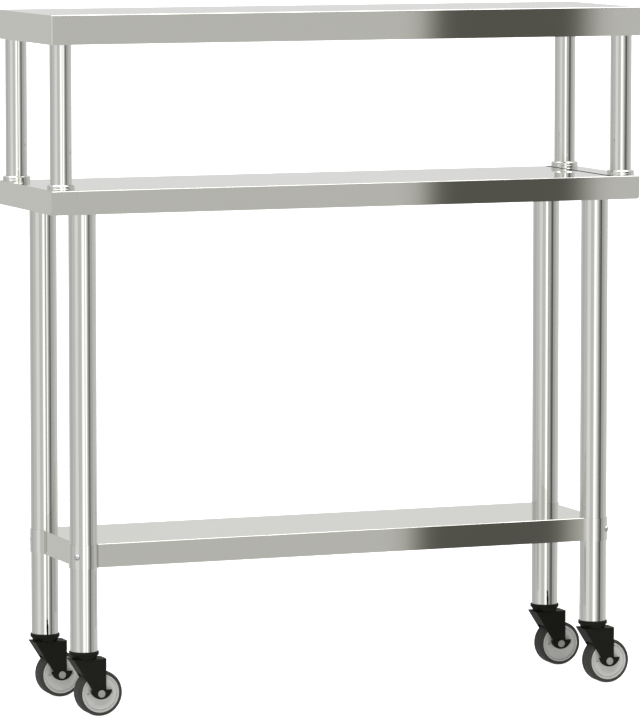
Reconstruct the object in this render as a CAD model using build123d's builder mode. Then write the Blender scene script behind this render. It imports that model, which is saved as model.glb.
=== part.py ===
from build123d import *
import os

# Stainless steel work table with a raised overshelf, a lower shelf and four swivel casters.
# Millimetres, +Z up, +X along the table, the front faces -Y.
# The origin is on the floor, below the middle of the table.

# ---- Overall sizes ----
length = 1100
depth = 300
worktop_height = 914
overshelf_rise = 300
shelf_height = 300

# ---- Folded sheet trays ----
worktop_sheet = 1.5
overshelf_sheet = 1.2
shelf_sheet = 1.2
worktop_skirt = 41
overshelf_skirt = 50.5
shelf_skirt = 41
worktop_hem = 14
overshelf_hem = 5
shelf_hem = 10
bend_radius = 1.1
skirt_corner_radius = 6
skirt_seam = 0.4
weld_radius = 1.5
shelf_past_leg = 11

# ---- Stiffening channels under the trays ----
channel_width = 80
channel_drop = 26
channel_sheet = 1.2
channel_lip = 12
channel_end_gap = 4

# ---- Tubes ----
leg_diameter = 48
leg_wall = 1.5
leg_end_gap = 44
leg_side_gap = 19
post_diameter = 38
post_wall = 1.5
post_end_gap = 6
post_side_gap = 8.5

# ---- Sockets, collars and base strips ----
socket_wall = 2.8
socket_floor = 3
leg_socket_height = 34
post_socket_height = 32
slip_clearance = 0.1
collar_wall = 5.4
collar_height = 9
collar_edge_radius = 1.5
strip_sheet = 0.8
strip_width = 48.5
strip_edge_gap = 1.5

# ---- Fasteners ----
bolt_diameter = 10
bolt_flats = 17
bolt_head_height = 6.5
bolt_flange_radius = 11
bolt_flange_height = 1.5
bolt_tip_gap = 4
plug_height = 30
plug_chamfer = 1.5
screw_diameter = 6
screw_length = 7
thread_clearance = 0.05
hole_clearance = 0.25
clamp_sheet = 1.5
clamp_bolt_diameter = 6
clamp_head_diameter = 10.5
clamp_head_height = 3.2
clamp_nut_flats = 10
clamp_nut_height = 5
clamp_bolt_tail = 3

# ---- Wheels ----
wheel_diameter = 80
wheel_width = 32
tread_edge_radius = 4
tyre_thickness = 6.5
hub_lip = 1.7
hub_groove = 3.6
hub_groove_depth = 2
hub_face_depth = 1.2
hub_dish_depth = 2.8
hub_dish_rim = 11
hub_boss_diameter = 20
hub_boss_rise = 0.3
slit_length = 5
slit_width = 1
slit_depth = 1
axle_diameter = 8
axle_cap_diameter = 13
axle_cap_height = 1.6
axle_cap_edge = 0.6

# ---- Forks and swivels ----
caster_trail = 25
running_clearance = 0.05
wheel_side_gap = 1
wheel_crown_gap = 3
crown_thickness = 17.5
fork_plate = 3
fork_front = 25
fork_rear = 11.6
fork_rear_corner = 8
fork_top_edge = 0.8
fork_wall_rise = 33
foot_top_rise = 6.5
foot_front = 15.5
foot_radius = 20
foot_rise = 10
foot_relief = 0.6
swivel_gap = 0.3
stem_diameter = 10
stem_head_diameter = 13.4
stem_head_height = 2.5
stem_head_gap = 0.5
stem_insertion = 30
caster_plug_insertion = 38
caster_plug_chamfer = 1
plug_collar_overhang = 2
plug_collar_height = 7
plug_neck_height = 6.2
plug_neck_step = 2
plug_neck_taper = 3

# ---- Derived sizes and places ----
overshelf_height = worktop_height + overshelf_rise
worktop_under = worktop_height - worktop_sheet
overshelf_under = overshelf_height - overshelf_sheet
shelf_under = shelf_height - shelf_sheet
leg_radius = leg_diameter / 2
post_radius = post_diameter / 2
leg_x = length / 2 - leg_end_gap - leg_radius
leg_y = depth / 2 - leg_side_gap - leg_radius
post_x = length / 2 - post_end_gap - post_radius
post_y = depth / 2 - post_side_gap - post_radius
shelf_length = 2 * (leg_x + shelf_past_leg)
shelf_depth = 2 * (leg_y + shelf_past_leg)
strip_top = worktop_height + strip_sheet
notch_radius = leg_radius + slip_clearance
bolt_hole_radius = bolt_diameter / 2 + hole_clearance
clamp_z = shelf_height - shelf_skirt / 2
clamp_hole_radius = clamp_bolt_diameter / 2 + hole_clearance
clamp_seat = notch_radius + clamp_sheet
nut_seat = notch_radius + shelf_sheet
wheel_radius = wheel_diameter / 2
hub_radius = wheel_radius - tyre_thickness
slot_half = wheel_width / 2 + wheel_side_gap
slot_radius = wheel_radius + wheel_crown_gap
fork_half = slot_half + fork_plate
foot_half = fork_half + foot_relief
fork_length = fork_front + caster_trail + fork_rear
stem_head_top = wheel_diameter + wheel_crown_gap
fork_top = stem_head_top + crown_thickness
neck_bottom = fork_top + swivel_gap
collar_bottom = neck_bottom + plug_neck_height
caster_height = collar_bottom + plug_collar_height
stem_top = caster_height + stem_insertion

corners = {"fl": (-1, -1), "fr": (1, -1), "bl": (-1, 1), "br": (1, 1)}
upright = (Align.CENTER, Align.CENTER, Align.MIN)

os.makedirs("parts", exist_ok=True)


def save(part, label):
    """Labels a finished piece and writes its STEP file."""
    part.label = label
    export_step(part, f"parts/{label}.step")


def at_corners(x, y):
    """Four places, one near each corner of the table."""
    return GridLocations(2 * x, 2 * y, 2, 2)


def diagonal_plane(x, y, z, sx, sy, facing=1):
    """A plane on a tube's axis that faces out (1) or in (-1) along the corner's diagonal."""
    return Plane(origin=(sx * x, sy * y, z), x_dir=(0, 0, 1), z_dir=(facing * sx, facing * sy, 0))


# ---- Trays ----
def skirt_profile(width, under, drop, corner_radius):
    """One folded skirt, square above and rounded at its two lower corners."""
    with Locations((0, under - drop / 2)):
        RectangleRounded(width, drop, corner_radius)
    with Locations((0, under - (drop - corner_radius) / 2)):
        Rectangle(width, drop - corner_radius)


def hems(bottom, sheet, hem, end_gap):
    """The narrow returns along the lower edges of a tray's four skirts."""
    width = hem - sheet
    for side in (1, -1):
        with Locations((0, side * (depth / 2 - sheet - width / 2), bottom)):
            Box(length - 2 * (hem + end_gap), width, sheet, align=upright)
        with Locations((side * (length / 2 - sheet - width / 2), 0, bottom)):
            Box(width, depth - 2 * (hem + end_gap), sheet, align=upright)


# The overshelf's corners are welded and ground round.
with BuildPart() as overshelf:
    with BuildSketch(Plane.XY.offset(overshelf_height - overshelf_skirt)):
        RectangleRounded(length, depth, weld_radius)
    extrude(amount=overshelf_skirt)
    fillet(overshelf.faces().sort_by(Axis.Z)[-1].edges(), bend_radius)
    with BuildSketch(Plane.XY.offset(overshelf_height - overshelf_skirt)):
        Rectangle(length - 2 * overshelf_sheet, depth - 2 * overshelf_sheet)
    extrude(amount=overshelf_skirt - overshelf_sheet, mode=Mode.SUBTRACT)
    hems(overshelf_height - overshelf_skirt, overshelf_sheet, overshelf_hem, weld_radius)
save(overshelf.part, "overshelf")

# The worktop's corners are open seams: the end skirts stop short of the long ones.
with BuildPart() as worktop:
    with BuildSketch(Plane.XY.offset(worktop_under)):
        Rectangle(length, depth)
    extrude(amount=worktop_sheet)
    fillet(worktop.faces().sort_by(Axis.Z)[-1].edges(), bend_radius)
    worktop_drop = worktop_skirt - worktop_sheet
    for side in (1, -1):
        with BuildSketch(Plane.XZ.offset(side * depth / 2)):
            skirt_profile(length, worktop_under, worktop_drop, skirt_corner_radius)
        extrude(amount=-side * worktop_sheet)
        with BuildSketch(Plane.YZ.offset(side * length / 2)):
            skirt_profile(depth - 2 * (worktop_sheet + skirt_seam), worktop_under, worktop_drop,
                          skirt_corner_radius)
        extrude(amount=-side * worktop_sheet)
    hems(worktop_height - worktop_skirt, worktop_sheet, worktop_hem, skirt_corner_radius)
    with BuildSketch(Plane.XY.offset(worktop_height)):
        with at_corners(post_x, post_y):
            Circle(bolt_hole_radius)
    extrude(amount=-worktop_sheet, mode=Mode.SUBTRACT)
save(worktop.part, "worktop")


def shelf_outline(inset):
    """The lower shelf's plan, notched around the legs, drawn inside its skirt by an inset."""
    Rectangle(shelf_length - 2 * inset, shelf_depth - 2 * inset)
    with at_corners(leg_x, leg_y):
        Circle(notch_radius + inset, mode=Mode.SUBTRACT)


with BuildPart() as lower_shelf:
    with BuildSketch(Plane.XY.offset(shelf_height - shelf_skirt)):
        shelf_outline(0)
    extrude(amount=shelf_skirt)
    shelf_edges = lower_shelf.faces().sort_by(Axis.Z)[-1].edges()
    fillet(shelf_edges.filter_by(GeomType.LINE), bend_radius)
    with BuildSketch(Plane.XY.offset(shelf_height - shelf_skirt)):
        shelf_outline(shelf_sheet)
    extrude(amount=shelf_skirt - shelf_sheet, mode=Mode.SUBTRACT)
    for side in (1, -1):
        with Locations((0, side * (shelf_depth - shelf_hem) / 2, shelf_height - shelf_skirt)):
            Box(2 * (leg_x - leg_diameter), shelf_hem, shelf_sheet, align=upright)
        with Locations((side * (shelf_length - shelf_hem) / 2, 0, shelf_height - shelf_skirt)):
            Box(shelf_hem, 2 * (leg_y - leg_diameter), shelf_sheet, align=upright)
    for sx, sy in corners.values():
        with Locations(diagonal_plane(leg_x, leg_y, clamp_z, sx, sy)):
            Cylinder(clamp_hole_radius, 2 * (nut_seat + hole_clearance), mode=Mode.SUBTRACT)
save(lower_shelf.part, "lower_shelf")


# ---- Stiffening channels ----
def stiffening_channel(label, under, run):
    """A hat-section channel that runs along the table against a tray's underside."""
    with BuildPart() as channel:
        with BuildSketch(Plane.YZ.offset(-run / 2)):
            with Locations((0, under - channel_drop / 2)):
                Rectangle(channel_width, channel_drop)
            with Locations((0, under - channel_sheet / 2)):
                Rectangle(channel_width + 2 * channel_lip, channel_sheet)
            with Locations((0, under - (channel_drop - channel_sheet) / 2)):
                Rectangle(channel_width - 2 * channel_sheet, channel_drop - channel_sheet,
                          mode=Mode.SUBTRACT)
        extrude(amount=run)
    save(channel.part, label)


stiffening_channel("overshelf_channel", overshelf_under, length - 2 * (overshelf_hem + channel_end_gap))
stiffening_channel("worktop_channel", worktop_under, length - 2 * (worktop_hem + channel_end_gap))
stiffening_channel("lower_shelf_channel", shelf_under, shelf_length - 2 * (shelf_hem + channel_end_gap))


# ---- Legs, posts, collars and base strips ----
def leg(label, sx, sy):
    """A leg tube, drilled along the corner diagonal for the lower shelf's clamp bolt."""
    with BuildPart() as tube:
        with BuildSketch(Plane.XY.offset(caster_height)):
            with Locations((sx * leg_x, sy * leg_y)):
                Circle(leg_radius)
                Circle(leg_radius - leg_wall, mode=Mode.SUBTRACT)
        extrude(amount=worktop_under - socket_floor - caster_height)
        with Locations(diagonal_plane(leg_x, leg_y, clamp_z, sx, sy)):
            Cylinder(clamp_hole_radius, leg_diameter + leg_wall, mode=Mode.SUBTRACT)
    save(tube.part, label)


def post(label, sx, sy):
    """A post tube between its base strip and the overshelf's socket."""
    with BuildPart() as tube:
        with BuildSketch(Plane.XY.offset(strip_top)):
            with Locations((sx * post_x, sy * post_y)):
                Circle(post_radius)
                Circle(post_radius - post_wall, mode=Mode.SUBTRACT)
        extrude(amount=overshelf_under - socket_floor - strip_top)
    save(tube.part, label)


def post_collar(label, sx, sy):
    """A round collar around a post's foot, its upper rim rounded."""
    bore = post_radius + slip_clearance
    with BuildPart() as collar:
        with BuildSketch(Plane.XY.offset(strip_top)):
            with Locations((sx * post_x, sy * post_y)):
                Circle(bore + collar_wall)
                Circle(bore, mode=Mode.SUBTRACT)
        extrude(amount=collar_height)
        fillet(collar.edges().group_by(Axis.Z)[-1].sort_by(SortBy.RADIUS)[-1], collar_edge_radius)
    save(collar.part, label)


for name, (sx, sy) in corners.items():
    leg(f"leg_{name}", sx, sy)
    post(f"post_{name}", sx, sy)
    post_collar(f"post_collar_{name}", sx, sy)

for name, side in (("left", -1), ("right", 1)):
    with BuildPart() as base_strip:
        with BuildSketch(Plane.XY.offset(worktop_height)):
            with Locations((side * (length - strip_width - 2 * strip_edge_gap) / 2, 0)):
                Rectangle(strip_width, depth - 2 * strip_edge_gap)
            with Locations((side * post_x, post_y), (side * post_x, -post_y)):
                Circle(bolt_hole_radius, mode=Mode.SUBTRACT)
        extrude(amount=strip_sheet)
    save(base_strip.part, f"base_strip_{name}")


# ---- Sockets under the worktop and the overshelf, and their set screws ----
def screw_height(under, height):
    """The height of a socket's set screw, halfway along its bore."""
    return under - (socket_floor + height) / 2


def sockets(label, x, y, radius, under, height):
    """Four cups under a tray, each with a tube's top end inside."""
    with BuildPart() as cups:
        with BuildSketch(Plane.XY.offset(under)):
            with at_corners(x, y):
                Circle(radius + slip_clearance + socket_wall)
        extrude(amount=-height)
        with BuildSketch(Plane.XY.offset(under - height)):
            with at_corners(x, y):
                Circle(radius + slip_clearance)
        extrude(amount=height - socket_floor, mode=Mode.SUBTRACT)
        for sx, sy in corners.values():
            inward = diagonal_plane(x, y, screw_height(under, height), sx, sy, facing=-1)
            with Locations(inward):
                Cylinder(screw_diameter / 2, radius + 2 * socket_wall, align=upright, mode=Mode.SUBTRACT)
    save(cups.part, label)


sockets("leg_sockets", leg_x, leg_y, leg_radius, worktop_under, leg_socket_height)
sockets("overshelf_sockets", post_x, post_y, post_radius, overshelf_under, post_socket_height)


def set_screws(x, y, radius, under, height):
    """Headless screws through the cups' inner walls, their tips against the tubes."""
    for sx, sy in corners.values():
        inward = diagonal_plane(x, y, screw_height(under, height), sx, sy, facing=-1)
        with Locations(inward.offset(radius)):
            Cylinder(screw_diameter / 2 - thread_clearance, screw_length, align=upright)


with BuildPart() as socket_screws:
    set_screws(leg_x, leg_y, leg_radius, worktop_under, leg_socket_height)
    set_screws(post_x, post_y, post_radius, overshelf_under, post_socket_height)
save(socket_screws.part, "socket_screws")

# ---- Post plugs and the bolts that hold them from below the worktop ----
with BuildPart() as post_plugs:
    with BuildSketch(Plane.XY.offset(strip_top)):
        with at_corners(post_x, post_y):
            Circle(post_radius - post_wall - slip_clearance)
    extrude(amount=plug_height)
    chamfer(post_plugs.edges().group_by(Axis.Z)[-1], plug_chamfer)
    with BuildSketch(Plane.XY.offset(strip_top)):
        with at_corners(post_x, post_y):
            Circle(bolt_diameter / 2)
    extrude(amount=plug_height, mode=Mode.SUBTRACT)
save(post_plugs.part, "post_plugs")

with BuildPart() as post_bolts:
    with BuildSketch(Plane.XY.offset(worktop_under)):
        with at_corners(post_x, post_y):
            Circle(bolt_flange_radius)
    extrude(amount=-bolt_flange_height)
    with BuildSketch(Plane.XY.offset(worktop_under)):
        with at_corners(post_x, post_y):
            RegularPolygon(bolt_flats / 2, 6, major_radius=False)
    extrude(amount=-bolt_head_height)
    with BuildSketch(Plane.XY.offset(worktop_under)):
        with at_corners(post_x, post_y):
            Circle(bolt_diameter / 2 - thread_clearance)
    extrude(amount=strip_top + plug_height - bolt_tip_gap - worktop_under)
save(post_bolts.part, "post_bolts")


# ---- Clamps that hold the lower shelf to the legs ----
def leg_clamp(label, sx, sy):
    """A curved band around a leg's outer side, from one skirt of the shelf to the other."""
    with BuildPart() as band:
        with BuildSketch(Plane.XY.offset(shelf_height - shelf_skirt)):
            with Locations((sx * leg_x, sy * leg_y)):
                Circle(notch_radius + clamp_sheet)
                Circle(notch_radius, mode=Mode.SUBTRACT)
            Rectangle(shelf_length, shelf_depth, mode=Mode.SUBTRACT)
        extrude(amount=shelf_skirt)
        with Locations(diagonal_plane(leg_x, leg_y, clamp_z, sx, sy)):
            Cylinder(clamp_hole_radius, leg_diameter, align=upright, mode=Mode.SUBTRACT)
    save(band.part, label)


for name, (sx, sy) in corners.items():
    leg_clamp(f"leg_clamp_{name}", sx, sy)

clamp_tail = nut_seat + clamp_nut_height + clamp_bolt_tail
with BuildPart() as clamp_bolts:
    for sx, sy in corners.values():
        # The bolt's own plane: x runs out along the bolt, y is up.
        bolt_plane = Plane(origin=(sx * leg_x, sy * leg_y, clamp_z), x_dir=(sx, sy, 0), z_dir=(sy, -sx, 0))
        with BuildSketch(bolt_plane):
            with BuildLine():
                dome = EllipticalCenterArc((clamp_seat, 0), clamp_head_height, clamp_head_diameter / 2, arc_size=90)
                Polyline(
                    dome @ 1,
                    (clamp_seat, clamp_bolt_diameter / 2),
                    (-clamp_tail, clamp_bolt_diameter / 2),
                    (-clamp_tail, 0),
                    dome @ 0,
                )
            make_face()
        revolve(axis=Axis(bolt_plane.origin, bolt_plane.x_dir))
save(clamp_bolts.part, "clamp_bolts")

with BuildPart() as clamp_nuts:
    for sx, sy in corners.values():
        inward = diagonal_plane(leg_x, leg_y, clamp_z, sx, sy, facing=-1)
        with BuildSketch(inward.offset(nut_seat)):
            RegularPolygon(clamp_nut_flats / 2, 6, major_radius=False)
            Circle(clamp_bolt_diameter / 2 + thread_clearance, mode=Mode.SUBTRACT)
        extrude(amount=clamp_nut_height)
save(clamp_nuts.part, "clamp_nuts")


# ---- Casters ----
def caster_plug(label, x, y):
    """The plug in a leg's foot: a shank in the tube, a collar below it and a tapered neck."""
    shank = leg_radius - leg_wall - slip_clearance
    collar = leg_radius + plug_collar_overhang
    neck = collar - plug_neck_step
    top = caster_height + caster_plug_insertion
    edge = caster_plug_chamfer
    with BuildPart() as plug:
        with BuildSketch(Plane.XZ.offset(-y)):
            with BuildLine():
                Polyline(
                    (x, neck_bottom),
                    (x + neck - plug_neck_taper, neck_bottom),
                    (x + neck, collar_bottom),
                    (x + collar - edge, collar_bottom),
                    (x + collar, collar_bottom + edge),
                    (x + collar, caster_height - edge),
                    (x + collar - edge, caster_height),
                    (x + shank, caster_height),
                    (x + shank, top - edge),
                    (x + shank - edge, top),
                    (x, top),
                    close=True,
                )
            make_face()
        revolve(axis=Axis((x, y, 0), (0, 0, 1)))
        with BuildSketch(Plane.XY.offset(neck_bottom)):
            with Locations((x, y)):
                Circle(stem_diameter / 2)
        extrude(amount=stem_top - neck_bottom, mode=Mode.SUBTRACT)
    save(plug.part, label)


def swivel_stem(label, x, y):
    """The steel stem held in the plug, with a riveted head that carries the fork."""
    with BuildPart() as stem:
        with BuildSketch(Plane.XY.offset(stem_head_top)):
            with Locations((x, y)):
                Circle(stem_head_diameter / 2)
        extrude(amount=-stem_head_height)
        with BuildSketch(Plane.XY.offset(stem_head_top)):
            with Locations((x, y)):
                Circle(stem_diameter / 2)
        extrude(amount=stem_top - stem_head_top)
    save(stem.part, label)


def fork_plan(x, y):
    """The fork from above: square at the front, rounded at its two rear corners."""
    with Locations((x - fork_front + fork_length / 2, y)):
        RectangleRounded(fork_length, 2 * fork_half, fork_rear_corner)
    with Locations((x - fork_front + fork_length / 4, y)):
        Rectangle(fork_length / 2, 2 * fork_half)


def fork(label, x, y):
    """A moulded fork: a thick crown, a slanted front wall and two side plates with feet."""
    axle_x = x + caster_trail
    foot_top = wheel_radius + foot_top_rise
    across = Plane.XZ.offset(-y)
    with BuildPart() as body:
        # From the side: a level top, a slanted front edge and an upright rear edge.
        with BuildSketch(across):
            with BuildLine():
                Polyline(
                    (x - fork_front, fork_top),
                    (axle_x + fork_rear, fork_top),
                    (axle_x + fork_rear, foot_top),
                    (axle_x, wheel_radius),
                    (axle_x - foot_front, foot_top),
                    close=True,
                )
            make_face()
        extrude(amount=fork_half, both=True)
        with BuildSketch(Plane.XY):
            fork_plan(x, y)
        extrude(amount=fork_top, mode=Mode.INTERSECT)
        fillet(body.faces().sort_by(Axis.Z)[-1].edges(), fork_top_edge)
        # Round feet around the axle, slightly proud of the side plates.
        with BuildSketch(across):
            with Locations((axle_x, wheel_radius + foot_rise)):
                Circle(foot_radius)
            with Locations((axle_x, foot_top + foot_radius)):
                Rectangle(3 * foot_radius, 2 * foot_radius, mode=Mode.SUBTRACT)
        extrude(amount=foot_half, both=True)
        # The room for the wheel, which leaves a slanted wall in front of it.
        with BuildSketch(across):
            with Locations((axle_x, wheel_radius)):
                Circle(slot_radius)
                Rectangle(3 * slot_radius, 2 * fork_wall_rise)
        extrude(amount=slot_half, both=True, mode=Mode.SUBTRACT)
        with BuildSketch(across):
            with Locations((axle_x, wheel_radius)):
                Circle(axle_diameter / 2 + thread_clearance)
        extrude(amount=foot_half, both=True, mode=Mode.SUBTRACT)
        # The bore for the stem and the pocket for its head.
        with BuildSketch(Plane.XY.offset(fork_top)):
            with Locations((x, y)):
                Circle(stem_diameter / 2 + running_clearance)
        extrude(amount=-fork_top, mode=Mode.SUBTRACT)
        with BuildSketch(Plane.XY.offset(stem_head_top + swivel_gap)):
            with Locations((x, y)):
                Circle(stem_head_diameter / 2 + stem_head_gap)
        extrude(amount=-fork_top, mode=Mode.SUBTRACT)
    save(body.part, label)


def axle(label, x, y):
    """The axle pin across the fork's feet."""
    with BuildPart() as pin:
        with BuildSketch(Plane.XZ.offset(-y)):
            with Locations((x + caster_trail, wheel_radius)):
                Circle(axle_diameter / 2)
        extrude(amount=foot_half, both=True)
    save(pin.part, label)


def axle_caps(label, x, y):
    """Two round caps over the ends of the axle."""
    with BuildPart() as caps:
        for side in (1, -1):
            with BuildSketch(Plane.XZ.offset(-y + side * foot_half)):
                with Locations((x + caster_trail, wheel_radius)):
                    Circle(axle_cap_diameter / 2)
            extrude(amount=side * axle_cap_height)
        outer_rims = caps.edges().group_by(Axis.Y)
        chamfer(outer_rims[0] + outer_rims[-1], axle_cap_edge)
    save(caps.part, label)


def tyre(label, x, y):
    """The tyre, flat across its tread with rounded shoulders."""
    with BuildPart() as ring:
        with BuildSketch(Plane.YZ.offset(x + caster_trail)):
            with Locations((y, wheel_radius + (wheel_radius + hub_radius) / 2)):
                section = Rectangle(wheel_width, wheel_radius - hub_radius)
            fillet(section.vertices().group_by(Axis.Y)[-1], tread_edge_radius)
        revolve(axis=Axis((x + caster_trail, y, wheel_radius), (0, 1, 0)))
    save(ring.part, label)


def hub(label, x, y):
    """The hub: a rim with a lip, a groove, a dished face and a centre boss on each side."""
    axle_x = x + caster_trail
    half = wheel_width / 2
    boss_radius = hub_boss_diameter / 2
    face = half - hub_face_depth
    face_radius = hub_radius - hub_lip - hub_groove
    half_section = [
        (0, axle_diameter / 2 + running_clearance),
        (half + hub_boss_rise, axle_diameter / 2 + running_clearance),
        (half + hub_boss_rise, boss_radius),
        (half - hub_dish_depth, boss_radius + hub_boss_rise),
        (half - hub_dish_depth, face_radius - hub_dish_rim),
        (face, face_radius),
        (half - hub_groove_depth, face_radius + hub_groove / 3),
        (half - hub_groove_depth, face_radius + 2 * hub_groove / 3),
        (half, face_radius + hub_groove),
        (half, hub_radius),
        (0, hub_radius),
    ]
    with BuildPart() as wheel:
        with BuildSketch(Plane.YZ.offset(axle_x)):
            for side in (1, -1):
                with BuildLine():
                    Polyline([(y + side * a, wheel_radius + r) for a, r in half_section], close=True)
                make_face()
        revolve(axis=Axis((axle_x, y, wheel_radius), (0, 1, 0)))
        # Short radial slits in both faces, ahead of the axle and behind it.
        slit_x = face_radius - slit_length
        for side in (1, -1):
            with Locations(
                (axle_x - slit_x, y + side * face, wheel_radius),
                (axle_x + slit_x, y + side * face, wheel_radius),
            ):
                Box(slit_length, 2 * slit_depth, slit_width, mode=Mode.SUBTRACT)
    save(wheel.part, label)


for name, (sx, sy) in corners.items():
    caster_plug(f"caster_plug_{name}", sx * leg_x, sy * leg_y)
    swivel_stem(f"swivel_stem_{name}", sx * leg_x, sy * leg_y)
    fork(f"fork_{name}", sx * leg_x, sy * leg_y)
    axle(f"axle_{name}", sx * leg_x, sy * leg_y)
    axle_caps(f"axle_caps_{name}", sx * leg_x, sy * leg_y)
    hub(f"hub_{name}", sx * leg_x, sy * leg_y)
    tyre(f"tyre_{name}", sx * leg_x, sy * leg_y)
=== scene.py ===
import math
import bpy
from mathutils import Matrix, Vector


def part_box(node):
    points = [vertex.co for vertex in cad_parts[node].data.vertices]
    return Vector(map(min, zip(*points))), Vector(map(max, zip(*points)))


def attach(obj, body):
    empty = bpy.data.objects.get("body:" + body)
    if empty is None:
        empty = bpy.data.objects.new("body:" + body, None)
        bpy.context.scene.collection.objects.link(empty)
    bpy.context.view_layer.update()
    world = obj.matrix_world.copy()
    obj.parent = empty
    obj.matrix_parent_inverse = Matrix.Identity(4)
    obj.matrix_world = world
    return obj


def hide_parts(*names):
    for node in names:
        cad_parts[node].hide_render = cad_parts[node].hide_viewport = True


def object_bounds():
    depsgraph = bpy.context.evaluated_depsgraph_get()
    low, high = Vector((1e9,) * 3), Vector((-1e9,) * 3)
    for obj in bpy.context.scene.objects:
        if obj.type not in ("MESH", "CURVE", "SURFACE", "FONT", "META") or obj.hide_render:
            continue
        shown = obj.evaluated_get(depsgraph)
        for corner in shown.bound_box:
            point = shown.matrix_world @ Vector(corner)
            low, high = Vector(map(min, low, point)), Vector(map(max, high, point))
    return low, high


bl_info = {
    "name": "Stainless Work Table",
    "version": (1, 0, 0),
    "blender": (4, 5, 0),
    "location": "3D View > Sidebar > Work Table",
    "description": "Gives a wheeled stainless work table its finishes, wheels and studio",
    "category": "Object",
}

import bmesh
import bpy
from bpy.props import (
    FloatProperty,
    FloatVectorProperty,
    IntProperty,
    PointerProperty,
)
from mathutils import Matrix, Vector

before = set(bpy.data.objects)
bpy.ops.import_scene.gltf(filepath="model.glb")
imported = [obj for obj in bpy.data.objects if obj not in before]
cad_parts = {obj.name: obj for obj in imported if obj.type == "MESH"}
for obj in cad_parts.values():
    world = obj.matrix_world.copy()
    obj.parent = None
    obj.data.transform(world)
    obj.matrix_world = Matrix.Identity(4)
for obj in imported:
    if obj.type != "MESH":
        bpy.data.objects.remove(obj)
CAD_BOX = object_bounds()

CORNERS = ("fl", "fr", "bl", "br")
TRAYS = ("overshelf", "worktop", "lower_shelf")
END_STRIPS = ("base_strip_left", "base_strip_right")
FRONT = Matrix.Rotation(math.radians(90), 4, "X")
SHARP_ANGLE = math.radians(32)
WELD_DISTANCE = 1e-6

# How a noise is squeezed so that its lines run along an axis.
ALONG_X = (0.02, 1, 1)
ALONG_Y = (1, 0.02, 1)
ALONG_Z = (1, 1, 0.02)
TURNED = (1, 1, 0.05)
EVEN = (1, 1, 1)

# How far the grain moves each steel's roughness, tint and height.
POLISHED = {"spread": 0.012, "smear_tint": 0.03, "bump": 0.02}
SHEET_LINES = 900
TUBE_LINES = 1100

# The sockets of a colour mix.
MIX_A = 6
MIX_B = 7
MIX_RESULT = 2

# Painted shade: a dark colour laid on the end strips' inner upright edges, standing in for a
# shadow gap, within this reach of the middle along X.
PAINTED_EDGE_SHADE = (0.02, 0.02, 0.018)
PAINTED_SHADE_REACH = 0.52

COLLAR_STEPS = 96
COLLAR_BORE = 0.0191
COLLAR_FOOT = 0.0016
COLLAR_GROOVE = 0.0006
COLLAR_GROOVE_WIDTH = 0.0007
COLLAR_ROUND = 0.0036
COLLAR_MOUTH = 0.0012
COLLAR_MOUTH_DEPTH = 0.0016
ROUND_STEPS = 8

HUB_STEPS = 96
HUB_BORE = 0.0043
HUB_BOSS = 0.0100
HUB_BOSS_RISE = 0.0003
HUB_DISH = 0.0040
HUB_FLAT = 0.52
SLIT_END = 0.74
SLIT_SIDE = 0.00015
SLIT_DEPTH = 0.0009
TYRE_STEPS = 128
GROOVE_AT = 0.0055
GROOVE_WIDTH = 0.0012

# The light round the table by compass heading, 0 behind it and 180 in front.
STUDIO_PEAK = 1.5
STUDIO_RING = (
    (0, 0.70), (21, 0.74), (48, 0.70), (72, 0.675), (90, 0.63), (103, 0.62), (112, 0.47),
    (126, 0.455), (134, 0.39), (139, 0.11), (157, 0.11), (161, 0.60), (164, 1.35),
    (174.5, 1.35), (176, 0.88), (184, 0.88), (185.5, 1.35), (201, 1.35), (206, 0.72),
    (213, 0.62), (230, 0.62), (237, 0.83), (257, 0.83), (266, 0.68), (277, 0.58),
    (289, 0.64), (299, 0.51), (316, 0.515), (338, 0.61), (360, 0.70),
)
OVERHEAD = 0.92
OVERHEAD_FADE = (0.30, 0.80)
BELOW = 0.45
BELOW_FADE = (0.35, 0.8)
FILL = 0.65

# A bright band high in the studio, by the sine of its height, for polished bends only.
BAND = 5.0
BAND_STOPS = ((0, 0), (0.80, 0), (0.84, 1), (0.95, 1), (0.975, 0), (1, 0))

CARD_FROM = 1.0
CARD_TO = 2.95
CARD_Y = -5.05
CARD_Z = 0.3
CARD_HEIGHT = 3.4
CARD_LEAN = 0.012
CARD_LIGHT = 0.585
CARD_WARM = 0.86
CARD_STOPS = (
    (1.0, 0.58), (2.085, 0.578), (2.135, 0.50), (2.170, 0.29), (2.205, 0.14),
    (2.245, 0.105), (2.575, 0.105), (2.610, 0.16), (2.650, 0.35), (2.690, 0.53),
    (2.730, 0.585), (2.95, 0.585),
)

KEY_FROM = (-0.35, -0.55, 1.0)
KEY_SPREAD = math.radians(35)
FLOOR_REACH = 40
FLOOR_GAP = 0.0004
CLIP_END = 200


class TableMetal(bpy.types.PropertyGroup):
    sheet_color: FloatVectorProperty(
        name="Sheet Color", description="Colour of the folded stainless sheet",
        subtype="COLOR", size=3, min=0, max=1, default=(0.775, 0.77, 0.715))
    tube_color: FloatVectorProperty(
        name="Tube Color", description="Colour of the polished tubes and collars",
        subtype="COLOR", size=3, min=0, max=1, default=(0.775, 0.78, 0.745))
    cast_color: FloatVectorProperty(
        name="Casting Color", description="Colour of the sockets under the shelves",
        subtype="COLOR", size=3, min=0, max=1, default=(0.50, 0.50, 0.485))
    fastener_color: FloatVectorProperty(
        name="Fastener Color", description="Colour of the bolts, nuts and set screws",
        subtype="COLOR", size=3, min=0, max=1, default=(0.66, 0.66, 0.64))
    sheet_polish: FloatProperty(
        name="Sheet Roughness", description="Roughness of the sheet along its grain",
        subtype="FACTOR", min=0, max=1, default=0.030)
    tube_polish: FloatProperty(
        name="Tube Roughness", description="Roughness of the polished tube",
        subtype="FACTOR", min=0, max=1, default=0.030)


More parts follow.
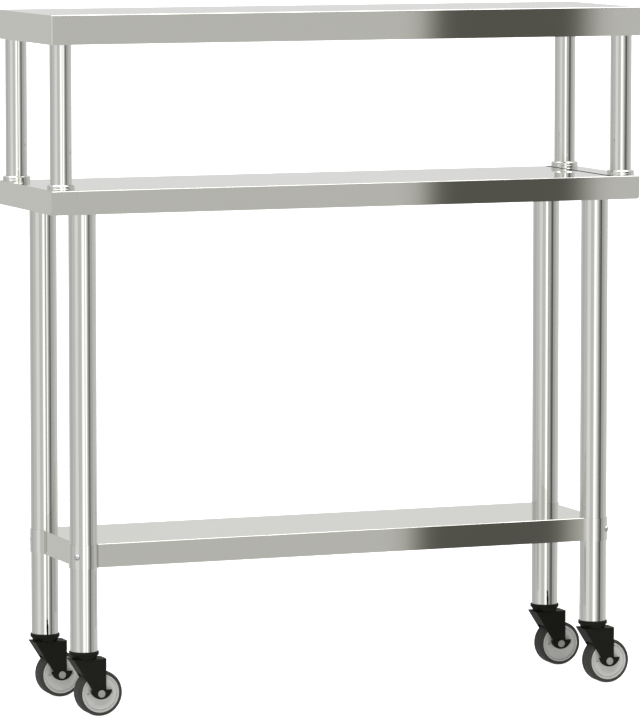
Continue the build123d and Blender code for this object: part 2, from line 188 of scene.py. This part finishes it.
class CasterLook(bpy.types.PropertyGroup):
    fork_color: FloatVectorProperty(
        name="Fork Color", description="Colour of the moulded forks and plugs",
        subtype="COLOR", size=3, min=0, max=1, default=(0.0085, 0.0085, 0.0065))
    hub_color: FloatVectorProperty(
        name="Hub Color", description="Colour of the wheel hubs",
        subtype="COLOR", size=3, min=0, max=1, default=(0.42, 0.42, 0.405))
    cap_color: FloatVectorProperty(
        name="Axle Cap Color", description="Colour of the caps over the axle ends",
        subtype="COLOR", size=3, min=0, max=1, default=(0.22, 0.22, 0.21))
    tyre_color: FloatVectorProperty(
        name="Tyre Color", description="Colour of the soft rubber tyres",
        subtype="COLOR", size=3, min=0, max=1, default=(0.030, 0.031, 0.027))
    shoulder: FloatProperty(
        name="Tyre Shoulder", description="Radius between the tread and the sidewall",
        unit="LENGTH", min=0.001, max=0.006, default=0.0045)
    groove: FloatProperty(
        name="Tread Groove", description="Depth of the two grooves round the tread",
        unit="LENGTH", min=0.0001, max=0.002, default=0.0006)
    slits: IntProperty(
        name="Hub Slits", description="Radial slits in each face of a hub",
        min=1, max=8, default=2)


class StudioLook(bpy.types.PropertyGroup):
    camera_at: FloatVectorProperty(
        name="Camera", description="Where the camera stands",
        subtype="TRANSLATION", unit="LENGTH", size=3, default=(-3.34532, -8.56769, 1.55228))
    yaw: FloatProperty(
        name="Yaw", description="How far the camera is turned to the right",
        subtype="ANGLE", default=math.radians(21.323))
    pitch: FloatProperty(
        name="Pitch", description="How far the camera looks down",
        subtype="ANGLE", default=math.radians(5.529))
    lens: FloatProperty(
        name="Lens", description="Focal length in millimetres",
        min=20, max=500, default=260.70)
    drop: FloatProperty(
        name="Lens Drop", description="Lens shift down, as a share of the picture's height",
        subtype="FACTOR", min=0, max=0.1, default=0.0556)
    floor_glow: FloatProperty(
        name="Floor Glow", description="How far the floor is lit from behind",
        min=0, max=2, default=0.93)
    key: FloatProperty(
        name="Key Light", description="Strength of the soft light from above",
        min=0, max=10, default=1.6)
    sky: FloatProperty(
        name="Sky", description="Strength of the studio round the table",
        min=0, max=4, default=1.0)


# ---------------------------------------------------------------- shader help


def link(tree, source, target):
    tree.links.new(source, target)


def add_node(tree, kind, **values):
    """A node with plain settings, and numbers for its inputs by name."""
    node = tree.nodes.new(kind)
    for key, value in values.items():
        if hasattr(node, key):
            setattr(node, key, value)
        else:
            node.inputs[key.replace("_", " ")].default_value = value
    return node


def math_node(tree, operation, first, second=0.0):
    node = tree.nodes.new("ShaderNodeMath")
    node.operation = operation
    for socket, value in zip(node.inputs, (first, second)):
        if isinstance(value, (int, float)):
            socket.default_value = value
        else:
            link(tree, value, socket)
    return node.outputs[0]


def fill_ramp(node, stops, warm=1.0):
    """Grey levels along a colour ramp, whose first and last stops stand at its ends.

    Below the card's light level the greys lose blue, down to the share in warm at black.
    """
    marks = node.color_ramp.elements
    for index, (at, level) in enumerate(stops):
        ends = {0: 0, len(stops) - 1: -1}
        mark = marks[ends[index]] if index in ends else marks.new(at)
        blue = min(1, warm + (1 - warm) * level / CARD_LIGHT)
        mark.color = (level, level, level * blue, 1)


def new_group(name, inputs, outputs):
    """A shader node group with named sockets; returns it with its two end nodes."""
    group = bpy.data.node_groups.new(name, "ShaderNodeTree")
    for label, kind, value in inputs:
        socket = group.interface.new_socket(name=label, in_out="INPUT", socket_type=kind)
        if value is not None:
            socket.default_value = value
    for label, kind in outputs:
        group.interface.new_socket(name=label, in_out="OUTPUT", socket_type=kind)
    return group, group.nodes.new("NodeGroupInput"), group.nodes.new("NodeGroupOutput")


FLOAT = "NodeSocketFloat"
COLOR = "NodeSocketColor"
VECTOR = "NodeSocketVector"


def grain_group():
    """Fine drawn lines along one direction, with the soft smears of a wiped surface."""
    group, given, put = new_group(
        "Steel Grain",
        [("Vector", VECTOR, None), ("Lines", FLOAT, 900.0), ("Smears", FLOAT, 6.0)],
        [("Grain", FLOAT), ("Smear", FLOAT)],
    )
    lines = add_node(group, "ShaderNodeTexNoise", Detail=3.0, Roughness=0.6)
    link(group, given.outputs["Vector"], lines.inputs["Vector"])
    link(group, given.outputs["Lines"], lines.inputs["Scale"])
    link(group, lines.outputs[0], put.inputs["Grain"])
    smears = add_node(group, "ShaderNodeTexNoise", Detail=4.0, Roughness=0.55, Distortion=0.6)
    link(group, given.outputs["Vector"], smears.inputs["Vector"])
    link(group, given.outputs["Smears"], smears.inputs["Scale"])
    link(group, smears.outputs[0], put.inputs["Smear"])
    return group


def tint_group():
    """A colour that drifts a little lighter and darker with a mask."""
    group, given, put = new_group(
        "Drifting Tint",
        [("Color", COLOR, (1, 1, 1, 1)), ("Mask", FLOAT, 0.5), ("Amount", FLOAT, 0.05)],
        [("Color", COLOR)],
    )
    centred = math_node(group, "SUBTRACT", given.outputs["Mask"], 0.5)
    swing = math_node(group, "MULTIPLY", centred, given.outputs["Amount"])
    gain = math_node(group, "ADD", swing, 1.0)
    shade = group.nodes.new("ShaderNodeVectorMath")
    shade.operation = "SCALE"
    link(group, given.outputs["Color"], shade.inputs[0])
    link(group, gain, shade.inputs["Scale"])
    link(group, shade.outputs[0], put.inputs["Color"])
    return group


def moulding_group():
    """The fine leathery skin of a moulded plastic or rubber piece, with a little dust."""
    group, given, put = new_group(
        "Moulded Skin",
        [("Vector", VECTOR, None), ("Scale", FLOAT, 1400.0), ("Dust", FLOAT, 40.0)],
        [("Height", FLOAT), ("Dust", FLOAT)],
    )
    skin = add_node(group, "ShaderNodeTexVoronoi")
    link(group, given.outputs["Vector"], skin.inputs["Vector"])
    link(group, given.outputs["Scale"], skin.inputs["Scale"])
    link(group, skin.outputs["Distance"], put.inputs["Height"])
    dust = add_node(group, "ShaderNodeTexNoise", Detail=5.0, Roughness=0.65)
    link(group, given.outputs["Vector"], dust.inputs["Vector"])
    link(group, given.outputs["Dust"], dust.inputs["Scale"])
    link(group, dust.outputs[0], put.inputs["Dust"])
    return group


def shared_group(name, make):
    return bpy.data.node_groups.get(name) or make()


def place_group(tree, name, make, **values):
    node = tree.nodes.new("ShaderNodeGroup")
    node.node_tree = shared_group(name, make)
    for key, value in values.items():
        node.inputs[key].default_value = value
    return node


def new_material(name):
    """An empty material with a Principled shader; returns it, its tree and the shader."""
    material = bpy.data.materials.new(name)
    material.use_nodes = True
    tree = material.node_tree
    shader = tree.nodes["Principled BSDF"]
    return material, tree, shader


def stretched_coordinates(tree, stretch):
    """Object coordinates squeezed by stretch, so that a noise is drawn out along an axis."""
    place = tree.nodes.new("ShaderNodeTexCoord")
    mapping = tree.nodes.new("ShaderNodeMapping")
    mapping.inputs["Scale"].default_value = stretch
    link(tree, place.outputs["Object"], mapping.inputs["Vector"])
    return mapping.outputs["Vector"]


def add_bump(tree, shader, height, strength, distance):
    bump = add_node(tree, "ShaderNodeBump", Strength=strength, Distance=distance)
    link(tree, height, bump.inputs["Height"])
    link(tree, bump.outputs["Normal"], shader.inputs["Normal"])


def steel_material(name, color, roughness, stretch, lines, spread, smear_tint, bump):
    """Stainless steel drawn along one axis: its grain moves roughness, tint and height."""
    material, tree, shader = new_material(name)
    shader.inputs["Metallic"].default_value = 1.0
    grain = place_group(tree, "Steel Grain", grain_group, Lines=lines)
    link(tree, stretched_coordinates(tree, stretch), grain.inputs["Vector"])
    tint = place_group(tree, "Drifting Tint", tint_group,
                       Color=(*color, 1), Amount=smear_tint)
    link(tree, grain.outputs["Smear"], tint.inputs["Mask"])
    link(tree, tint.outputs["Color"], shader.inputs["Base Color"])
    rough = tree.nodes.new("ShaderNodeMapRange")
    rough.inputs["To Min"].default_value = roughness
    rough.inputs["To Max"].default_value = roughness + spread
    link(tree, grain.outputs["Grain"], rough.inputs["Value"])
    link(tree, rough.outputs["Result"], shader.inputs["Roughness"])
    add_bump(tree, shader, grain.outputs["Grain"], bump, 0.0001)
    return material


def paint_edge_shade(material, color):
    """Paints shade on a flat strip's inner upright edge: a dark, non-metallic line standing in
    for a shadow gap.
    """
    tree = material.node_tree
    shader = tree.nodes["Principled BSDF"]
    facing = tree.nodes.new("ShaderNodeNewGeometry")
    split = tree.nodes.new("ShaderNodeSeparateXYZ")
    link(tree, facing.outputs["True Normal"], split.inputs[0])
    # Where the painted shade goes: faces turned across X, inside the reach.
    across = math_node(tree, "ABSOLUTE", split.outputs["X"])
    upright = math_node(tree, "GREATER_THAN", across, 0.5)
    place = tree.nodes.new("ShaderNodeTexCoord")
    spot = tree.nodes.new("ShaderNodeSeparateXYZ")
    link(tree, place.outputs["Object"], spot.inputs[0])
    reach = math_node(tree, "ABSOLUTE", spot.outputs["X"])
    inner = math_node(tree, "LESS_THAN", reach, PAINTED_SHADE_REACH)
    shade_line = math_node(tree, "MULTIPLY", upright, inner)
    blend = tree.nodes.new("ShaderNodeMix")
    blend.data_type = "RGBA"
    link(tree, shade_line, blend.inputs["Factor"])
    link(tree, shader.inputs["Base Color"].links[0].from_socket, blend.inputs[MIX_A])
    blend.inputs[MIX_B].default_value = (*color, 1)
    link(tree, blend.outputs[MIX_RESULT], shader.inputs["Base Color"])
    # The painted shade also takes the metal away, so the line stays dark in reflections.
    link(tree, math_node(tree, "SUBTRACT", 1.0, shade_line), shader.inputs["Metallic"])


def moulded_material(name, color, roughness, skin, bump, dusting, specular=0.5):
    """Moulded plastic or rubber: a fine skin, and dust that greys it and dulls it."""
    material, tree, shader = new_material(name)
    shader.inputs["Specular IOR Level"].default_value = specular
    moulded = place_group(tree, "Moulded Skin", moulding_group, Scale=skin)
    link(tree, stretched_coordinates(tree, EVEN), moulded.inputs["Vector"])
    tint = place_group(tree, "Drifting Tint", tint_group,
                       Color=(*color, 1), Amount=dusting)
    link(tree, moulded.outputs["Dust"], tint.inputs["Mask"])
    link(tree, tint.outputs["Color"], shader.inputs["Base Color"])
    rough = tree.nodes.new("ShaderNodeMapRange")
    rough.inputs["To Min"].default_value = roughness - 0.05
    rough.inputs["To Max"].default_value = roughness + 0.08
    link(tree, moulded.outputs["Dust"], rough.inputs["Value"])
    link(tree, rough.outputs["Result"], shader.inputs["Roughness"])
    add_bump(tree, shader, moulded.outputs["Height"], bump, 0.0003)
    return material


def cover(name, material):
    """Puts one material on a CAD node."""
    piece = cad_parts[name]
    piece.data.materials.clear()
    piece.data.materials.append(material)


# ------------------------------------------------------------------ mesh help


def finish_piece(name, shape, body, material, stands_for):
    """Turns a bmesh into a named piece on its body, standing for CAD nodes."""
    bmesh.ops.remove_doubles(shape, verts=shape.verts, dist=WELD_DISTANCE)
    bmesh.ops.recalc_face_normals(shape, faces=shape.faces)
    mesh = bpy.data.meshes.new(name)
    shape.to_mesh(mesh)
    shape.free()
    mesh.materials.append(material)
    mesh.shade_smooth()
    mesh.set_sharp_from_angle(angle=SHARP_ANGLE)
    piece = bpy.data.objects.new(name, mesh)
    bpy.context.scene.collection.objects.link(piece)
    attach(piece, body)
    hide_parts(*stands_for)
    return piece


def mirrored(half_section):
    """A wheel's section, from the half on one side of its middle plane."""
    return half_section + [(-across, radius) for across, radius in reversed(half_section)]


def spun(section, centre, steps):
    """A closed section (across, radius) turned about the wheel's axle at centre."""
    shape = bmesh.new()
    points = [shape.verts.new((0, across, radius)) for across, radius in section]
    edges = [shape.edges.new((a, b)) for a, b in zip(points, points[1:] + points[:1])]
    bmesh.ops.spin(shape, geom=points + edges, cent=(0, 0, 0), axis=(0, 1, 0),
                   angle=math.tau, steps=steps, use_merge=True)
    bmesh.ops.translate(shape, verts=shape.verts, vec=centre)
    return shape


def wheel_place(node):
    """Centre, outer radius and half width of a wheel part, from its CAD box."""
    low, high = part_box(node)
    return (low + high) / 2, (high.z - low.z) / 2, (high.y - low.y) / 2


def arc(centre, radius, start, end, steps):
    """Points (across, radius) round a quarter turn or less, in degrees."""
    turns = [math.radians(start + (end - start) * i / steps) for i in range(steps + 1)]
    return [(centre[0] + radius * math.cos(t), centre[1] + radius * math.sin(t))
            for t in turns]


# ------------------------------------------------------------------ operators


class WORKTABLE_OT_sheets(bpy.types.Operator):
    """Finishes the three folded trays, their channels and the strips under the posts"""
    bl_idname = "worktable.sheets"
    bl_label = "Sheets"

    def execute(self, context):
        metal = context.scene.table_metal
        sheet = steel_material("Satin Sheet", metal.sheet_color, metal.sheet_polish,
                               ALONG_X, SHEET_LINES, **POLISHED)
        for name in TRAYS:
            cover(name, sheet)
            cover(name + "_channel", sheet)
        strip = steel_material("Strip With Painted Shade", metal.sheet_color, metal.sheet_polish,
                               ALONG_Y, SHEET_LINES, **POLISHED)
        # Paints shade on the strips' inner upright edges, as a dark line.
        paint_edge_shade(strip, PAINTED_EDGE_SHADE)
        for name in END_STRIPS:
            cover(name, strip)
        return {"FINISHED"}


class WORKTABLE_OT_tubes(bpy.types.Operator):
    """Polishes the legs, the posts and the shelf clamps"""
    bl_idname = "worktable.tubes"
    bl_label = "Tubes"

    def execute(self, context):
        metal = context.scene.table_metal
        tube = steel_material("Polished Tube", metal.tube_color, metal.tube_polish,
                              ALONG_Z, TUBE_LINES, **POLISHED)
        for corner in CORNERS:
            for part in ("leg_", "post_", "leg_clamp_"):
                cover(part + corner, tube)
        return {"FINISHED"}


class WORKTABLE_OT_collars(bpy.types.Operator):
    """Turns the four collars round the posts: a thin foot, a groove and a rounded ring"""
    bl_idname = "worktable.collars"
    bl_label = "Collars"

    def execute(self, context):
        metal = context.scene.table_metal
        turned = steel_material("Turned Collar", metal.tube_color, metal.tube_polish,
                                TURNED, lines=2400, spread=0.02, smear_tint=0.04,
                                bump=0.05)
        for corner in CORNERS:
            low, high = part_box("post_collar_" + corner)
            middle = ((low.x + high.x) / 2, (low.y + high.y) / 2, low.z)
            radius = (high.x - low.x) / 2
            height = high.z - low.z
            ring = height - COLLAR_ROUND
            section = [
                (COLLAR_BORE, 0),
                (radius, 0),
                (radius, COLLAR_FOOT),
                (radius - COLLAR_GROOVE, COLLAR_FOOT + 0.0001),
                (radius - COLLAR_GROOVE, COLLAR_FOOT + 0.0001 + COLLAR_GROOVE_WIDTH),
                (radius - 0.0001, COLLAR_FOOT + 0.0013),
            ]
            section += arc((radius - COLLAR_ROUND, ring), COLLAR_ROUND, 0, 90, ROUND_STEPS)
            section += [(COLLAR_BORE + COLLAR_MOUTH, height),
                        (COLLAR_BORE, height - COLLAR_MOUTH_DEPTH)]
            shape = bmesh.new()
            points = [shape.verts.new((out, 0, up)) for out, up in section]
            edges = [shape.edges.new((a, b)) for a, b in zip(points, points[1:] + points[:1])]
            bmesh.ops.spin(shape, geom=points + edges, cent=(0, 0, 0), axis=(0, 0, 1),
                           angle=math.tau, steps=COLLAR_STEPS, use_merge=True)
            bmesh.ops.translate(shape, verts=shape.verts, vec=middle)
            finish_piece("collar_ring_" + corner, shape, "table", turned,
                         ["post_collar_" + corner])
        return {"FINISHED"}


class WORKTABLE_OT_fittings(bpy.types.Operator):
    """Finishes the cast sockets, the bolts, the nuts and the set screws"""
    bl_idname = "worktable.fittings"
    bl_label = "Fittings"

    def execute(self, context):
        metal = context.scene.table_metal
        cast = steel_material("Cast Steel", metal.cast_color, 0.34, EVEN,
                              lines=500, spread=0.14, smear_tint=0.20, bump=0.5)
        for name in ("leg_sockets", "overshelf_sockets"):
            cover(name, cast)
        fastener = steel_material("Plated Fastener", metal.fastener_color, 0.16, EVEN,
                                  lines=1600, spread=0.10, smear_tint=0.08, bump=0.2)
        for name in ("socket_screws", "post_bolts", "clamp_bolts", "clamp_nuts"):
            cover(name, fastener)
        for corner in CORNERS:
            cover("swivel_stem_" + corner, fastener)
            cover("axle_" + corner, fastener)
        return {"FINISHED"}


class WORKTABLE_OT_forks(bpy.types.Operator):
    """Finishes the moulded forks, the plugs in the tubes and the axle caps"""
    bl_idname = "worktable.forks"
    bl_label = "Forks"

    def execute(self, context):
        look = context.scene.caster_look
        black = moulded_material("Black Moulding", look.fork_color, roughness=0.46,
                                 skin=1500, bump=0.25, dusting=0.5, specular=0.06)
        cap = moulded_material("Grey Cap", look.cap_color, roughness=0.40,
                               skin=1500, bump=0.10, dusting=0.2)
        cover("post_plugs", black)
        for corner in CORNERS:
            cover("caster_plug_" + corner, black)
            cover("fork_" + corner, black)
            cover("axle_caps_" + corner, cap)
        return {"FINISHED"}


class WORKTABLE_OT_hubs(bpy.types.Operator):
    """Turns the four wheel hubs: lip, groove, dished faces with slits, and a boss"""
    bl_idname = "worktable.hubs"
    bl_label = "Hubs"

    def execute(self, context):
        look = context.scene.caster_look
        grey = moulded_material("Grey Hub", look.hub_color, roughness=0.36,
                                skin=1200, bump=0.12, dusting=0.16)
        for corner in CORNERS:
            centre, radius, reach = wheel_place("hub_" + corner)
            half = reach - HUB_BOSS_RISE
            floor = half - HUB_DISH
            # From the bore out: the boss, the dish and its wall, the groove and the rim.
            half_section = [
                (reach, HUB_BORE),
                (reach, HUB_BOSS - 0.0006),
                (reach - 0.0004, HUB_BOSS - 0.0001),
                (floor + 0.0005, HUB_BOSS + 0.0004),
                (floor, HUB_BOSS + 0.0010),
                (floor, radius * HUB_FLAT),
                (floor + 0.0006, radius * 0.62),
                (floor + 0.0016, radius * 0.72),
                (half - 0.0013, radius * 0.810),
                (half - 0.0010, radius * 0.830),
                (half - 0.0013, radius * 0.845),
                (half - 0.0026, radius * 0.862),
                (half - 0.0026, radius * 0.905),
                (half - 0.0006, radius * 0.940),
                (half, radius * 0.952),
                (half, radius * 0.990),
                (half - 0.0003, radius),
            ]
            shape = spun(mirrored(half_section), centre, HUB_STEPS)
            slit_faces = [
                face for face in shape.faces
                if self.in_slit(face.calc_center_median() - centre, radius, half, look.slits)
            ]
            bmesh.ops.inset_individual(shape, faces=slit_faces, thickness=SLIT_SIDE,
                                       depth=-SLIT_DEPTH, use_even_offset=True)
            finish_piece("hub_face_" + corner, shape, "wheel_" + corner,
                         grey, ["hub_" + corner])
        return {"FINISHED"}

    def in_slit(self, place, radius, half, slits):
        """Whether a face of the dish lies on one of the radial slits."""
        out = math.hypot(place.x, place.z)
        turn = math.atan2(place.z, place.x) % (math.tau / slits)
        on_line = min(turn, math.tau / slits - turn) < math.tau / HUB_STEPS * 0.75
        on_dish = HUB_FLAT * radius < out < SLIT_END * radius
        return on_line and on_dish and abs(place.y) > half - HUB_DISH - 0.0005


class WORKTABLE_OT_tyres(bpy.types.Operator):
    """Turns the four rubber tyres: rounded shoulders and two grooves in the tread"""
    bl_idname = "worktable.tyres"
    bl_label = "Tyres"

    def execute(self, context):
        look = context.scene.caster_look
        rubber = moulded_material("Grey Rubber", look.tyre_color, roughness=0.62,
                                  skin=900, bump=0.30, dusting=0.35, specular=0.25)
        for corner in CORNERS:
            centre, radius, half = wheel_place("tyre_" + corner)
            inner = wheel_place("hub_" + corner)[1]
            crown = half - look.shoulder
            half_section = [(half - 0.0004, inner), (half - 0.0001, inner + 0.0008)]
            half_section += arc((crown, radius - look.shoulder), look.shoulder, 0, 90,
                                ROUND_STEPS)
            for edge in (GROOVE_AT + GROOVE_WIDTH / 2, GROOVE_AT - GROOVE_WIDTH / 2):
                step = math.copysign(0.0002, edge - GROOVE_AT)
                walls = [(edge + step, radius), (edge, radius - look.groove)]
                half_section += walls if step > 0 else walls[::-1]
            shape = spun(mirrored(half_section), centre, TYRE_STEPS)
            finish_piece("tyre_ring_" + corner, shape, "wheel_" + corner,
                         rubber, ["tyre_" + corner])
        return {"FINISHED"}


class WORKTABLE_OT_studio(bpy.types.Operator):
    """Builds the pale floor, the soft light, the reflecting card and the camera"""
    bl_idname = "worktable.studio"
    bl_label = "Studio"

    def execute(self, context):
        look = context.scene.studio_look
        self.world(context, look)
        self.floor(look)
        self.card()
        self.key(context, look)
        self.camera(context, look)
        context.scene.view_settings.view_transform = "Standard"
        return {"FINISHED"}

    def world(self, context, look):
        """Soft light that changes round the table, as reflected in bright metal."""
        world = bpy.data.worlds.new("Studio")
        context.scene.world = world
        world.use_nodes = True
        tree = world.node_tree
        tree.nodes.clear()
        place = tree.nodes.new("ShaderNodeTexCoord")
        split = tree.nodes.new("ShaderNodeSeparateXYZ")
        link(tree, place.outputs["Generated"], split.inputs[0])
        heading = math_node(tree, "ARCTAN2", split.outputs["X"], split.outputs["Y"])
        turns = math_node(tree, "DIVIDE", heading, math.tau)
        share = math_node(tree, "FRACT", turns)
        ring = tree.nodes.new("ShaderNodeValToRGB")
        ring.color_ramp.interpolation = "LINEAR"
        link(tree, share, ring.inputs["Fac"])
        fill_ramp(ring, [(degrees / 360, level / STUDIO_PEAK) for degrees, level in STUDIO_RING])
        light = ring.outputs["Color"]
        caps = ((1, *OVERHEAD_FADE, OVERHEAD), (-1, *BELOW_FADE, BELOW))
        for sign, near, far, level in caps:
            height = math_node(tree, "MULTIPLY", split.outputs["Z"], sign)
            fade = tree.nodes.new("ShaderNodeMapRange")
            fade.interpolation_type = "SMOOTHSTEP"
            fade.inputs["From Min"].default_value = near
            fade.inputs["From Max"].default_value = far
            link(tree, height, fade.inputs["Value"])
            blend = tree.nodes.new("ShaderNodeMix")
            blend.data_type = "RGBA"
            link(tree, fade.outputs["Result"], blend.inputs["Factor"])
            link(tree, light, blend.inputs[MIX_A])
            blend.inputs[MIX_B].default_value = (*[level / STUDIO_PEAK] * 3, 1)
            light = blend.outputs[MIX_RESULT]
        rays = tree.nodes.new("ShaderNodeLightPath")
        band = tree.nodes.new("ShaderNodeValToRGB")
        link(tree, split.outputs["Z"], band.inputs["Fac"])
        fill_ramp(band, BAND_STOPS)
        shine = math_node(tree, "MULTIPLY", rays.outputs["Is Glossy Ray"], BAND / STUDIO_PEAK)
        glint = math_node(tree, "MULTIPLY", band.outputs["Color"], shine)
        lit = tree.nodes.new("ShaderNodeVectorMath")
        link(tree, light, lit.inputs[0])
        link(tree, glint, lit.inputs[1])
        dim = math_node(tree, "MULTIPLY", rays.outputs["Is Diffuse Ray"], FILL - 1)
        strength = math_node(tree, "MULTIPLY", math_node(tree, "ADD", dim, 1.0),
                             STUDIO_PEAK * look.sky)
        studio = tree.nodes.new("ShaderNodeBackground")
        link(tree, strength, studio.inputs["Strength"])
        link(tree, lit.outputs[0], studio.inputs["Color"])
        white = add_node(tree, "ShaderNodeBackground", Strength=1.0)
        white.inputs["Color"].default_value = (1, 1, 1, 1)
        chosen = tree.nodes.new("ShaderNodeMixShader")
        link(tree, rays.outputs["Is Camera Ray"], chosen.inputs[0])
        link(tree, studio.outputs[0], chosen.inputs[1])
        link(tree, white.outputs[0], chosen.inputs[2])
        put = tree.nodes.new("ShaderNodeOutputWorld")
        link(tree, chosen.outputs[0], put.inputs["Surface"])

    def floor(self, look):
        """A plain white floor, clear when looked at from underneath."""
        material, tree, shader = new_material("Studio Floor")
        shader.inputs["Base Color"].default_value = (0.8, 0.8, 0.8, 1)
        shader.inputs["Roughness"].default_value = 1.0
        shader.inputs["Specular IOR Level"].default_value = 0.0
        shader.inputs["Emission Color"].default_value = (1, 1, 1, 1)
        shader.inputs["Emission Strength"].default_value = look.floor_glow
        side = tree.nodes.new("ShaderNodeNewGeometry")
        clear = tree.nodes.new("ShaderNodeBsdfTransparent")
        chosen = tree.nodes.new("ShaderNodeMixShader")
        link(tree, side.outputs["Backfacing"], chosen.inputs[0])
        link(tree, shader.outputs[0], chosen.inputs[1])
        link(tree, clear.outputs[0], chosen.inputs[2])
        link(tree, chosen.outputs[0], tree.nodes["Material Output"].inputs["Surface"])
        shape = bmesh.new()
        level = Matrix.Translation((0, 0, CAD_BOX[0].z - FLOOR_GAP))
        bmesh.ops.create_grid(shape, x_segments=1, y_segments=1, size=FLOOR_REACH,
                              matrix=level)
        floor = self.stage_piece("studio_floor", shape, material)
        floor.visible_glossy = False

    def card(self):
        """A grey card with a dark panel, seen only in the front skirts' polish."""
        material = bpy.data.materials.new("Studio Card")
        material.use_nodes = True
        tree = material.node_tree
        tree.nodes.clear()
        place = tree.nodes.new("ShaderNodeTexCoord")
        split = tree.nodes.new("ShaderNodeSeparateXYZ")
        link(tree, place.outputs["Object"], split.inputs[0])
        lean = math_node(tree, "MULTIPLY", split.outputs["Z"], -CARD_LEAN)
        across = math_node(tree, "ADD", split.outputs["X"], lean)
        share = tree.nodes.new("ShaderNodeMapRange")
        share.inputs["From Min"].default_value = CARD_FROM
        share.inputs["From Max"].default_value = CARD_TO
        link(tree, across, share.inputs["Value"])
        panel = tree.nodes.new("ShaderNodeValToRGB")
        link(tree, share.outputs["Result"], panel.inputs["Fac"])
        fill_ramp(panel, [((at - CARD_FROM) / (CARD_TO - CARD_FROM), level)
                          for at, level in CARD_STOPS], warm=CARD_WARM)
        glow = tree.nodes.new("ShaderNodeEmission")
        link(tree, panel.outputs["Color"], glow.inputs["Color"])
        put = tree.nodes.new("ShaderNodeOutputMaterial")
        link(tree, glow.outputs[0], put.inputs["Surface"])
        shape = bmesh.new()
        bmesh.ops.create_grid(shape, x_segments=1, y_segments=1, size=0.5)
        bmesh.ops.scale(shape, verts=shape.verts, vec=(CARD_TO - CARD_FROM, CARD_HEIGHT, 1))
        bmesh.ops.transform(shape, verts=shape.verts, matrix=FRONT)
        bmesh.ops.translate(shape, verts=shape.verts,
                            vec=((CARD_FROM + CARD_TO) / 2, CARD_Y, CARD_Z))
        card = self.stage_piece("studio_card", shape, material)
        card.visible_camera = False
        card.visible_diffuse = False
        card.visible_shadow = False
        card.visible_transmission = False

    def key(self, context, look):
        """A large soft light from above that shapes the matt pieces only."""
        lamp = bpy.data.lights.new("key", "SUN")
        lamp.energy = look.key
        lamp.angle = KEY_SPREAD
        key = bpy.data.objects.new("key", lamp)
        context.scene.collection.objects.link(key)
        key.rotation_mode = "QUATERNION"
        key.rotation_quaternion = Vector(KEY_FROM).to_track_quat("Z", "Y")
        key.visible_glossy = False

    def stage_piece(self, name, shape, material):
        mesh = bpy.data.meshes.new(name)
        shape.to_mesh(mesh)
        shape.free()
        mesh.materials.append(material)
        piece = bpy.data.objects.new(name, mesh)
        bpy.context.scene.collection.objects.link(piece)
        return piece

    def camera(self, context, look):
        camera = bpy.data.objects.new("camera", bpy.data.cameras.new("camera"))
        context.scene.collection.objects.link(camera)
        camera.location = look.camera_at
        camera.rotation_euler = (math.pi / 2 - look.pitch, 0, -look.yaw)
        camera.data.lens = look.lens
        camera.data.shift_y = -look.drop
        camera.data.clip_end = CLIP_END
        context.scene.camera = camera


class WORKTABLE_PT_sidebar(bpy.types.Panel):
    """The work table's settings and the buttons that build it"""
    bl_idname = "WORKTABLE_PT_sidebar"
    bl_label = "Work Table"
    bl_space_type = "VIEW_3D"
    bl_region_type = "UI"
    bl_category = "Work Table"

    def draw(self, context):
        layout = self.layout
        for settings in (context.scene.table_metal, context.scene.caster_look,
                         context.scene.studio_look):
            box = layout.box()
            for name in settings.__annotations__:
                box.prop(settings, name)
        for operator in OPERATORS:
            layout.operator(operator.bl_idname)


SETTINGS = (TableMetal, CasterLook, StudioLook)
OPERATORS = (
    WORKTABLE_OT_sheets,
    WORKTABLE_OT_tubes,
    WORKTABLE_OT_collars,
    WORKTABLE_OT_fittings,
    WORKTABLE_OT_forks,
    WORKTABLE_OT_hubs,
    WORKTABLE_OT_tyres,
    WORKTABLE_OT_studio,
)


def register():
    for part in (*SETTINGS, *OPERATORS, WORKTABLE_PT_sidebar):
        bpy.utils.register_class(part)
    bpy.types.Scene.table_metal = PointerProperty(type=TableMetal)
    bpy.types.Scene.caster_look = PointerProperty(type=CasterLook)
    bpy.types.Scene.studio_look = PointerProperty(type=StudioLook)


def unregister():
    del bpy.types.Scene.studio_look
    del bpy.types.Scene.caster_look
    del bpy.types.Scene.table_metal
    for part in reversed((*SETTINGS, *OPERATORS, WORKTABLE_PT_sidebar)):
        bpy.utils.unregister_class(part)


def main():
    register()
    bpy.ops.worktable.sheets()
    bpy.ops.worktable.tubes()
    bpy.ops.worktable.collars()
    bpy.ops.worktable.fittings()
    bpy.ops.worktable.forks()
    bpy.ops.worktable.hubs()
    bpy.ops.worktable.tyres()
    bpy.ops.worktable.studio()


if __name__ == "__main__":
    main()
